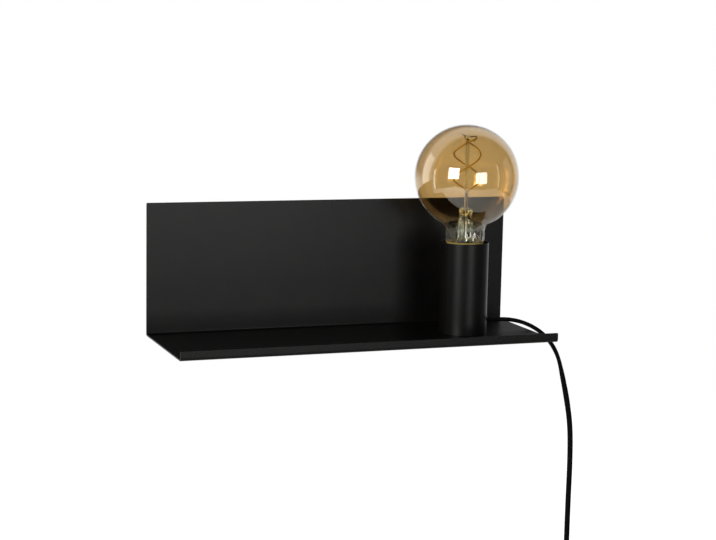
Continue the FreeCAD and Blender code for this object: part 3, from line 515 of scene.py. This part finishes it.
def make_lead():
    """The flat lead: on its side over the shelf's end, then a quarter twist as it hangs."""
    path = spline_points(lead_route())
    run = [0.0]
    for a, b in zip(path, path[1:]):
        run.append(run[-1] + (b - a).length / MM)

    def across_at(k, ahead):
        share = min(max((run[k] - TWIST_START) / (TWIST_END - TWIST_START), 0), 1)
        twist = share * share * (3 - 2 * share) * math.pi / 2
        sideways = Vector((0, 1, 0))
        return sideways * math.cos(twist) + ahead.cross(sideways) * math.sin(twist)

    mesh = closed_mesh("flat_lead", *swept(path, flat_section(), across_at))
    lead = new_piece("flat_lead", mesh, PVC_LEAD, "lamp_body", 50)
    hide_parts("cord_lead", "cord_drop", "cord_coil", "cord_tail")
    return lead, path


LEAD, LEAD_PATH = make_lead()


# ---------------------------------------------------------------- sheet and tube


def sheet_outline():
    """The bent sheet seen from its end: (depth, height) points round back, shelf and lip."""
    outer, steps = SHEET + BEND, 16
    front = outer - SHELF_DEPTH
    face = [(0, BACK_HEIGHT)] + arc((-outer, outer), outer, 0, -90, steps)
    face += arc((front, outer), outer, -90, -180, steps) + [(-SHELF_DEPTH, LIP_HEIGHT)]
    inside = [(SHEET - SHELF_DEPTH, LIP_HEIGHT)] + arc((front, outer), BEND, 180, 270, steps)
    inside += arc((-outer, outer), BEND, -90, 0, steps) + [(-SHEET, BACK_HEIGHT)]
    return face + inside


def make_sheet():
    """Back, shelf and lip in one bent sheet, its cut edges rounded by the paint. The wide faces
    stay flat, so that only the bends and the edges shade as curves.
    """
    section = sheet_outline()
    ends = [[place(x, y, z) for y, z in section] for x in (-HALF_LENGTH, HALF_LENGTH)]
    sheet = add_object("bent_sheet", closed_mesh("bent_sheet", *stacked(ends)))
    rim = bmesh.new()
    rim.from_mesh(sheet.data)
    heights = [place(0, 0, z).z for z in (BACK_HEIGHT, LIP_HEIGHT)]
    same, corner, paint, widest_strip = 1e-6, 1.0, 0.3, 2.5

    def free_corner(edge):
        a, b = (v.co for v in edge.verts)
        level = abs(a.z - b.z) < same and min(abs(a.z - h) for h in heights) < same
        return level and abs(a.x - b.x) < same

    corners = [e for e in rim.edges if free_corner(e)]
    round_off = {"offset": corner * MM, "segments": 5, "affect": "EDGES", "profile": 0.5}
    bmesh.ops.bevel(rim, geom=corners, **round_off)
    rim.to_mesh(sheet.data)
    rim.free()
    edge = sheet.modifiers.new("painted_edge", "BEVEL")
    edge.width, edge.segments, edge.limit_method = paint * MM, 3, "ANGLE"
    edge.angle_limit = math.radians(50)
    mesh = as_plain_mesh(sheet)
    bpy.data.objects.remove(sheet)
    piece = new_piece("bent_sheet", mesh, POWDER_COAT, "lamp_body")
    narrow = 2 * HALF_LENGTH * widest_strip * MM**2
    for face in mesh.polygons:
        face.use_smooth = face.area < narrow
    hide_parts("sheet_body")


def cut_out(name, mesh, cutter_mesh):
    """The mesh with the cutter's space taken out of it."""
    thing, cutter = add_object(name, mesh), add_object("cutter", cutter_mesh)
    cut = thing.modifiers.new("cut", "BOOLEAN")
    cut.object, cut.operation, cut.solver = cutter, "DIFFERENCE", "EXACT"
    result = as_plain_mesh(thing)
    bpy.data.objects.remove(thing)
    bpy.data.objects.remove(cutter)
    return result


def make_tube():
    """The holder's tube, with a rolled rim and the lead's hole. A ring of points just below the
    rim keeps the wall's shading straight.
    """
    outer, wall, bottom, top, rim, edge = 22.0, 1.2, 1.5, 85.5, 0.5, 0.2
    inner, floor = outer - wall, 3.0
    below_rim = top - rim - edge
    profile = [(0, bottom), (outer - edge, bottom), (outer, bottom + edge), (outer, below_rim)]
    profile += arc((outer - rim, top - rim), rim, 0, 90, 5)
    profile += arc((inner + rim, top - rim), rim, 90, 180, 5)
    profile += [(inner, below_rim), (inner, floor), (0, floor)]
    whole = closed_mesh("holder_tube", *turned(profile, 160, at_lamp))
    hole_radius, steps, drill_ends = 3.65, 32, (10.0, 30.0)
    ring = arc((0, LEAD_HEIGHT), hole_radius, 0, 360 - 360 / steps, steps - 1)
    drill = stacked([[at_lamp(x, y, z) for y, z in ring] for x in drill_ends])
    mesh = cut_out("holder_tube", whole, closed_mesh("drill", *drill))
    tube = new_piece("holder_tube", mesh, POWDER_COAT, "lamp_body")
    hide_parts("holder_cup")


def make_screws():
    """The two pan heads under the shelf, with cross recesses."""
    head_radius, head, shank, length = 4.0, 2.4, 2.0, 8.0
    ball = (head_radius**2 + head**2) / (2 * head)
    brim = math.degrees(math.asin((ball - head) / ball))
    profile = arc((0, ball - head), ball, -90, -brim, 12)
    profile += [(shank, 0), (shank, length), (0, length)]
    whole = closed_mesh("screw", *turned(profile, 48, by_itself))
    long, slim = 2.3, 0.45
    arm = [(long, slim), (slim, slim), (slim, long)]
    half_cross = arm + [(-y, x) for x, y in arm]
    cross = half_cross + [(-x, -y) for x, y in half_cross]
    # (share of the cross's width, height): it narrows into the head
    taper = ((1.15, -head - 1), (1.0, -head), (0.7, -head + 1.3))
    recess = stacked([[by_itself(x * k, y * k, z) for x, y in cross] for k, z in taper])
    screw = cut_out("screw", whole, closed_mesh("recess", *recess))
    apart = 30.0
    mesh = row_mesh(screw, BLACK_OXIDE, 2, at_lamp(0, -apart / 2, 0), (0, apart * MM, 0))
    screws = new_piece("cross_screws", mesh, BLACK_OXIDE, "lamp_body")
    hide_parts("cup_screws")


def make_welds():
    """Three spot welds down each flange of the two hanger plates."""
    plate_face, between, beside, lowest, step = 1.2, 130.0, 17.0, 84.0, 10.0
    button = [(0, -0.1), (0, 0.02), (1.2, 0.02), (1.6, 0.12), (2.1, 0.1), (2.3, -0.1)]
    columns = [side * between + flange * beside for side in (-1, 1) for flange in (-1, 1)]

    def on_flange(column):
        return lambda u, v, proud: by_itself(column + u, plate_face + proud, v)

    level = [turned(button, 24, on_flange(column)) for column in columns]
    form = closed_mesh("welds", *joined(level))
    mesh = row_mesh(form, HEAT_MARK, 3, place(0, 0, lowest), (0, 0, step * MM))
    new_piece("spot_welds", mesh, HEAT_MARK, "lamp_body")


make_sheet()
make_tube()
make_screws()
make_welds()


# ---------------------------------------------------------------- bulb

GLOBE_RADIUS, GLOBE_CENTRE, GLASS = 47.5, 145.0, 0.8
CAP_TOP, CAP_LENGTH, CAP_RADIUS, CAP_WALL = 80.5, 19.5, 13.1, 0.4
THREAD_PITCH, THREAD_DEPTH = 3.629, 0.85


def globe_wall(inset):
    """(radius, height) points up one face of the glass, from the foot of the neck to the top."""
    foot, neck, in_cap = 12.6 - inset, 17.6 - inset, 3.5
    neck_length, neck_step = 7.2, 1.4
    sphere, fillet = GLOBE_RADIUS - inset, 8.0 + inset
    across, apart = neck + fillet, sphere + fillet
    fillet_height = GLOBE_CENTRE - math.sqrt(apart**2 - across**2)
    straight, drop, step_in = fillet_height - neck_length, 7.5, neck - foot
    curve = (step_in**2 + drop**2) / (2 * step_in)
    lean = math.degrees(math.asin(drop / curve))
    rise = math.degrees(math.acos(across / apart))
    wall = [(foot, CAP_TOP - in_cap)]
    wall += arc((neck - curve, straight), curve, -lean, 0, 8)
    wall += [(neck, straight + neck_step * k) for k in range(1, 6)]
    wall += arc((across, fillet_height), fillet, 180, 180 - rise, 10)
    wall += arc((0, GLOBE_CENTRE), sphere, -rise, 90, 56)[1:]
    return wall


def make_globe():
    """The globe's shell: bare glass outside, lustre inside, and fine pleats down the neck."""
    profile = globe_wall(0) + globe_wall(GLASS)[::-1]
    pleats, deep, lowest, highest, fade = 22, 0.36, 86.0, 99.0, 4.0

    def pleated(radius, height, angle):
        share = min(max(min(height - lowest, highest - height) / fade, 0), 1)
        return radius + share * deep * math.cos(pleats * angle)

    globe = turned_piece(
        "glass_globe", profile, CLEAR_GLASS, "bulb", 192, pleated, smooth_angle=70
    )
    globe.data.materials.append(AMBER_LUSTRE)
    middle = at_lamp(0, 0, GLOBE_CENTRE)
    for face in globe.data.polygons:
        outward = face.center - Vector((middle.x, middle.y, min(face.center.z, middle.z)))
        face.material_index = 1 if face.normal.dot(outward) < 0 else 0
    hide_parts("bulb_globe")


def make_stem():
    """The sealed stem: a flare in the neck, a fluted tube pinched at its head, a rod and a bead."""
    base, rod_top, bead_radius = 81.06, 181.0, 2.3
    # (radius, height above the base)
    flare = [(0, -1), (11.7, -1), (11.75, 0), (9.4, 1.6), (7.6, 4.0), (6.7, 7.0), (6.4, 10)]
    straight = [(6.3, 18), (6.1, 23), (5.2, 26.5), (4.9, 28)]
    head = [(5.3, 30), (5.9, 32), (5.8, 34), (4.2, 35.6), (1.9, 36.4), (1.6, 38)]
    profile = [(radius, base + rise) for radius, rise in flare + straight + head]
    profile += arc((0, rod_top), bead_radius, -44, 90, 10)
    flutes, share, lowest, highest, fade = 14, 0.09, 3, 36, 6
    twist_from, twist = 24, 0.24

    def fluted(radius, height, angle):
        """The radius at the flutes, which twist in the pinched head."""
        rise = height - base
        depth = 0.0
        if lowest < rise < highest:
            depth = min(rise - lowest, highest - rise, fade) / fade * share
        return radius * (1 + depth * math.cos(flutes * angle + twist * max(rise - twist_from, 0)))

    stem = turned_piece("fluted_stem", profile, STEM_GLASS, "bulb", 168, fluted, 60)
    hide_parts("bulb_stem")


def make_cap():
    """The screw cap: a rolled right-hand thread in thin plated sheet, with its plain collar."""
    bottom, toe, toe_radius, collar, run_out, rows = CAP_TOP - CAP_LENGTH, 2.0, 11.5, 1.8, 1.5, 58

    def run_in(length):
        return min(max(length / run_out, 0), 1)

    def ridge(height, angle):
        fade = run_in(height - bottom - toe) * run_in(CAP_TOP - collar - height)
        phase = 2 * math.pi * height / THREAD_PITCH - angle
        return fade * THREAD_DEPTH / 2 * (math.cos(phase) - 1)

    def threaded(radius, height, angle):
        return radius + ridge(height, angle) if height > bottom + toe else radius

    rise = [bottom + toe + (CAP_LENGTH - toe) * k / rows for k in range(rows + 1)]
    profile = [(toe_radius - CAP_WALL, bottom), (toe_radius, bottom)]
    profile += [(CAP_RADIUS, z) for z in rise]
    profile += [(CAP_RADIUS - CAP_WALL, z) for z in reversed(rise[2:])]
    profile += [(toe_radius - CAP_WALL, bottom + CAP_WALL)]
    cap = turned_piece("threaded_cap", profile, CAP_BRASS, "bulb", 96, threaded, 50)
    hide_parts("bulb_cap")


def make_cement():
    """The bead of cement that shows above the cap, round the foot of the glass."""
    below, above, proud, gap = CAP_TOP + 0.1, CAP_TOP + 6.0, 0.2, 0.02
    glass = [(radius, height) for radius, height in globe_wall(0) if below < height < above]
    profile = [(glass[0][0] + gap, below)] + [(radius + proud, height) for radius, height in glass]
    profile += [(radius + gap, height) for radius, height in reversed(glass)]
    turned_piece("cement_bead", profile, CEMENT, "bulb", 96)


def make_strand_tips():
    """The two strands' ends, which cross above their turn and reach the hooks on the bead."""
    radius, facing = 0.8, math.radians(-110.5)
    toward = Vector((math.cos(facing), math.sin(facing), 0))
    across = Vector((-toward.y, toward.x, 0))
    # (to the side, in front of the rod, height)
    routes = (
        ((-0.4, 3.1, 177.7), (1.8, 3.2, 178.0), (3.9, 2.4, 178.3), (6.1, 0.3, 179.2)),
        ((0.4, -3.1, 177.7), (-0.9, -3.4, 178.6), (-2.0, -3.0, 180.2), (-3.1, -0.9, 182.5)),
    )
    section = arc((0, 0), radius, 0, 330, 11)
    tips = []
    for route in routes:
        spots = [across * side + toward * front for side, front, _ in route]
        path = spline_points([at_lamp(spot.x, spot.y, stop[2]) for spot, stop in zip(spots, route)])
        tips.append(swept(path, section, lambda k, ahead: Vector((0, 0, 1))))
    mesh = closed_mesh("strand_tips", *joined(tips))
    new_piece("strand_tips", mesh, PHOSPHOR, "bulb")


make_globe()
make_stem()
make_cap()
make_cement()
make_strand_tips()


# ---------------------------------------------------------------- switch and plug

SWITCH_X, SWITCH_Z = 224.2, -248.0
PLUG_X, PLUG_Y, PLUG_TOP = 251.254, -67.8, -388.368
PIN_SPACING = 19.0


def soft_rectangle(half_x, half_y, corner, steps=7):
    """(x, y) points round a rectangle with round corners."""
    points = []
    for quarter, (x, y) in enumerate(((1, 1), (-1, 1), (-1, -1), (1, -1))):
        centre = (x * (half_x - corner), y * (half_y - corner))
        points += arc(centre, corner, 90 * quarter, 90 * quarter + 90, steps)
    return points


def make_grip_ribs():
    """Four raised bars towards each end of the switch's cover."""
    front, first, step, roundness = -71.0, 15.0, 3.0, 0.98
    # (half width, half height, how far it stands out)
    layers = ((7.0, 0.45, -0.1), (7.0, 0.45, 0.2), (6.75, 0.2, 0.45))
    rings = []
    for half_x, half_z, proud in layers:
        outline = soft_rectangle(half_x, half_z, half_z * roundness, 4)
        rings.append([by_itself(x, -proud, z) for x, z in outline])
    for name, way in (("upper_grip_ribs", 1), ("lower_grip_ribs", -1)):
        start = place(SWITCH_X, front, SWITCH_Z + way * first)
        form = closed_mesh(name, *stacked(rings))
        mesh = row_mesh(form, SATIN_ABS, 4, start, (0, 0, way * step * MM))
        new_piece(name, mesh, SATIN_ABS, "lamp_body")


def make_rocker_marks():
    """A bar on the rocker's upper half, for on, and a ring on its lower half, for off."""
    pivot_y, tilt, thin = -67.6, math.radians(8.0), 0.05
    crest, end_z, valley = -4.4, 9.863, -3.5
    slope = math.atan2(valley - crest, end_z)

    def on_half(side, u, v, lift):
        """u across, v up from the middle of that half of the rocker's face, lift off it."""
        y, z = (crest + valley) / 2, side * end_z / 2
        y, z = y - side * v * math.sin(slope) - lift * math.cos(slope), z + v * math.cos(slope)
        z -= side * lift * math.sin(slope)
        turned_y = y * math.cos(tilt) - z * math.sin(tilt)
        turned_z = y * math.sin(tilt) + z * math.cos(tilt)
        return place(SWITCH_X + u, pivot_y + turned_y, SWITCH_Z + turned_z)

    bar_half_width, bar_half_height, bar_corner = 0.35, 1.6, 0.3
    outline = soft_rectangle(bar_half_width, bar_half_height, bar_corner, 4)
    bar = stacked([[on_half(1, u, v, lift) for u, v in outline] for lift in (-thin, thin)])
    inner, outer = 1.05, 1.55
    section = [(inner, -thin), (outer, -thin), (outer, thin), (inner, thin)]
    ring = turned(section, 40, lambda u, v, lift: on_half(-1, u, v, lift))
    mesh = closed_mesh("rocker_marks", *joined([bar, ring]))
    new_piece("rocker_marks", mesh, MARK_INK, "rocker")


def make_plug():
    """The moulded plug: a neck, a swelling shoulder, a flat body and the sleeves of its pins."""
    half_x, half_y, corner, neck, shoulder, block = 17.65, 6.85, 6.0, 14.0, 10.0, 13.0
    waist, swell_steps = 5.0, 10
    # (half width, half depth, corner radius, how far down)
    layers = [(3.0, 3.0, 3.0, 0), (3.6, 3.6, 3.6, 0.3), (3.9, 3.9, 3.9, 1.0)]
    layers.append((waist, waist, waist, neck))
    for k in range(1, swell_steps + 1):
        share = k / swell_steps
        swell = share * share * (3 - 2 * share)
        x, y = waist + (half_x - waist) * swell, waist + (half_y - waist) * swell
        layers.append((x, y, waist + (corner - waist) * swell, neck + shoulder * share))
    face = neck + shoulder + block
    # The edge of the pins' face is rounded off: (how far in, how far back)
    for inset, back in ((0.0, 1.0), (0.3, 0.3), (1.0, 0.0)):
        layers.append((half_x - inset, half_y - inset, corner - inset, face - back))
    put = about(PLUG_X, PLUG_Y, PLUG_TOP)
    rings = [[put(x, y, -down) for x, y in soft_rectangle(*sizes)] for *sizes, down in layers]
    # (radius, height from the pins' face) of a pin's sleeve
    sleeve = ((0, 0.5), (2.0, 0.5), (2.0, -9.8), (1.8, -10), (0, -10))
    sleeve = [(radius, rise - face) for radius, rise in sleeve]
    pins = [about(PLUG_X + side * PIN_SPACING / 2, PLUG_Y, PLUG_TOP) for side in (-1, 1)]
    sleeves = [turned(sleeve, 32, pin) for pin in pins]
    mesh = closed_mesh("moulded_plug", *joined([stacked(rings)] + sleeves))
    plug = new_piece("moulded_plug", mesh, SATIN_ABS, "lamp_body")
    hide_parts("plug_body")
    ring_radius, wire, first, step, widening = 4.14, 0.42, 3.0, 2.2, 0.042
    rib = closed_mesh("rib", *turned(arc((ring_radius, 0), wire, 0, 330, 11), 48, by_itself))
    start, down = put(0, 0, -first), (0, 0, -step * MM)
    ribs = row_mesh(rib, SATIN_ABS, 5, start, down, widening)
    return plug, new_piece("plug_neck_ribs", ribs, SATIN_ABS, "lamp_body")


make_grip_ribs()
make_rocker_marks()
PLUG, PLUG_RIBS = make_plug()


# ---------------------------------------------------------------- CAD pieces that keep their shape

KEPT_SHAPES = {
    "hanger_plates": ZINC_PLATE,
    "wall_bumpers": RUBBER,
    "holder_bridge": ZINC_PLATE,
    "nipple": ZINC_PLATE,
    "nipple_nut": ZINC_PLATE,
    "holder_dome": THERMOSET,
    "contact_block": UREA,
    "holder_sleeve": THERMOSET,
    "centre_contact": BRASS,
    "side_contact": BRASS,
    "terminal_screws": ZINC_PLATE,
    "cord_bush": PVC_LEAD,
    "cord_grip": UREA,
    "grip_screw": ZINC_PLATE,
    "core_live": CORE_BROWN,
    "core_neutral": CORE_BLUE,
    "bulb_filament": PHOSPHOR,
    "bulb_supports": SUPPORT_WIRE,
    "bulb_driver": BOARD,
    "bulb_insulator": BLACK_GLASS,
    "bulb_foot": TINNED,
    "switch_base": SATIN_ABS,
    "switch_cover": SATIN_ABS,
    "switch_rocker": SATIN_ABS,
    "switch_clips": BRASS,
    "switch_screws": ZINC_PLATE,
    "coil_tie": RUBBER,
    "plug_pins": BRASS,
}
for node, finish in KEPT_SHAPES.items():
    for material_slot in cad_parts[node].material_slots:
        material_slot.material = finish


# ---------------------------------------------------------------- studio


def from_lamp(right, up, near, distance):
    """A place at a distance from the globe, by the directions of the camera's picture."""
    away = VIEW["right"] * right + VIEW["up"] * up - VIEW["ahead"] * near
    return at_lamp(0, 0, GLOBE_CENTRE) + away.normalized() * distance


def soft_box(name, where, width, height, level):
    """A soft box that faces the globe. The level is its own brightness, where 1 is white."""
    light = bpy.data.lights.new(name, "AREA")
    light.shape, light.size, light.size_y = "RECTANGLE", width, height
    light.energy = level * math.pi * width * height
    box = add_object(name, light)
    facing = (at_lamp(0, 0, GLOBE_CENTRE) - where).to_track_quat("-Z", "Y")
    box.matrix_world = Matrix.Translation(where) @ facing.to_matrix().to_4x4()
    box.visible_camera = False


def light_studio():
    """Two soft boxes in front, whose squares show in the globe, and a dimmer wall and a thin strip
    beyond each end of the shelf.
    """
    soft_box("soft_box_left", from_lamp(-0.525, 0.085, 0.847, 2.3), 0.9, 0.93, 24.3)
    soft_box("soft_box_right", from_lamp(0.485, -0.095, 0.87, 2.3), 0.98, 0.96, 7.1)
    soft_box("side_wall_left", from_lamp(-0.94, 0.2, -0.25, 2.2), 0.95, 1.7, 1.3)
    soft_box("side_strip_left", from_lamp(-0.965, -0.2, 0.155, 2.2), 0.18, 2.0, 2.4)
    soft_box("side_wall_right", from_lamp(0.97, 0.05, -0.22, 2.2), 0.9, 1.8, 0.3)
    soft_box("side_strip_right", from_lamp(0.94, 0.03, 0.335, 2.2), 0.1, 1.7, 1.6)


def light_world():
    """White to the camera. What surfaces mirror is dark in front and white behind, with a dim
    patch straight behind the back, above the level of the lens.
    """
    world = bpy.data.worlds.new("studio")
    world.use_nodes = True
    bpy.context.scene.world = world
    tree = world.node_tree
    tree.nodes.clear()
    where = add_node(tree, "ShaderNodeTexCoord").outputs["Generated"]
    _, depth, height = add_node(tree, "ShaderNodeSeparateXYZ", {0: where}).outputs
    front, rear, dimmed_by, diffuse = 0.04, 0.86, 0.77, 0.3
    rise = {0: depth, "From Min": 0.2, "From Max": 0.38, "To Min": front, "To Max": rear}
    behind = {0: depth, "From Min": 0.7, "From Max": 0.85}
    above = {0: height, "From Min": -0.12, "From Max": 0.02}
    rise, behind, above = (
        add_node(tree, "ShaderNodeMapRange", limits).outputs[0] for limits in (rise, behind, above)
    )
    patch = add_node(tree, "ShaderNodeMath", {0: behind, 1: above}, operation="MULTIPLY").outputs[0]
    dim = {0: patch, 1: -dimmed_by, 2: 1.0}
    dim = add_node(tree, "ShaderNodeMath", dim, operation="MULTIPLY_ADD").outputs[0]
    room = add_node(tree, "ShaderNodeMath", {0: rise, 1: dim}, operation="MULTIPLY").outputs[0]
    ray = add_node(tree, "ShaderNodeLightPath").outputs
    by_ray = {0: ray["Is Diffuse Ray"], 2: room, 3: diffuse}
    lit = add_node(tree, "ShaderNodeMix", by_ray).outputs[0]
    direct = {0: ray["Is Camera Ray"], 1: ray["Is Transmission Ray"]}
    seen = add_node(tree, "ShaderNodeMath", direct, operation="MAXIMUM").outputs[0]
    level = add_node(tree, "ShaderNodeMix", {0: seen, 2: lit, 3: 1.0}).outputs[0]
    sky = add_node(tree, "ShaderNodeBackground", {"Color": colour("#ffffff"), "Strength": level})
    add_node(tree, "ShaderNodeOutputWorld", {0: sky.outputs[0]})


def lay_floor():
    """A plain pale floor under the hanging lead. Its own glow makes it white to the camera, and a
    weaker one shows in gloss. It keeps the lamp's shadow.
    """
    finish, tree = new_finish("pale_floor")
    matt = add_node(tree, "ShaderNodeBsdfDiffuse", {"Color": colour("#c4c4c4")}).outputs[0]
    ray = add_node(tree, "ShaderNodeLightPath").outputs
    direct = {0: ray["Is Camera Ray"], 1: ray["Is Transmission Ray"]}
    seen = add_node(tree, "ShaderNodeMath", direct, operation="MAXIMUM").outputs[0]
    seen_glow, mirrored_glow = 0.9, 0.12
    gloss = {0: ray["Is Glossy Ray"], 1: mirrored_glow}
    mirrored = add_node(tree, "ShaderNodeMath", gloss, operation="MULTIPLY").outputs[0]
    glow = {0: seen, 1: seen_glow, 2: mirrored}
    glow = add_node(tree, "ShaderNodeMath", glow, operation="MULTIPLY_ADD").outputs[0]
    shine = add_node(tree, "ShaderNodeEmission", {"Strength": glow}).outputs[0]
    both = add_node(tree, "ShaderNodeAddShader", {0: matt, 1: shine}).outputs[0]
    add_node(tree, "ShaderNodeOutputMaterial", {0: both})
    half, level = 1.6, place(0, 0, -494.0).z
    mesh = bpy.data.meshes.new("floor")
    corners = [(x * half, y * half, level) for x, y in ((-1, -1), (1, -1), (1, 1), (-1, 1))]
    mesh.from_pydata(corners, [], [(0, 1, 2, 3)])
    mesh.materials.append(finish)
    add_object("floor", mesh)


light_studio()
light_world()
lay_floor()
bpy.context.scene.view_settings.view_transform = "Standard"
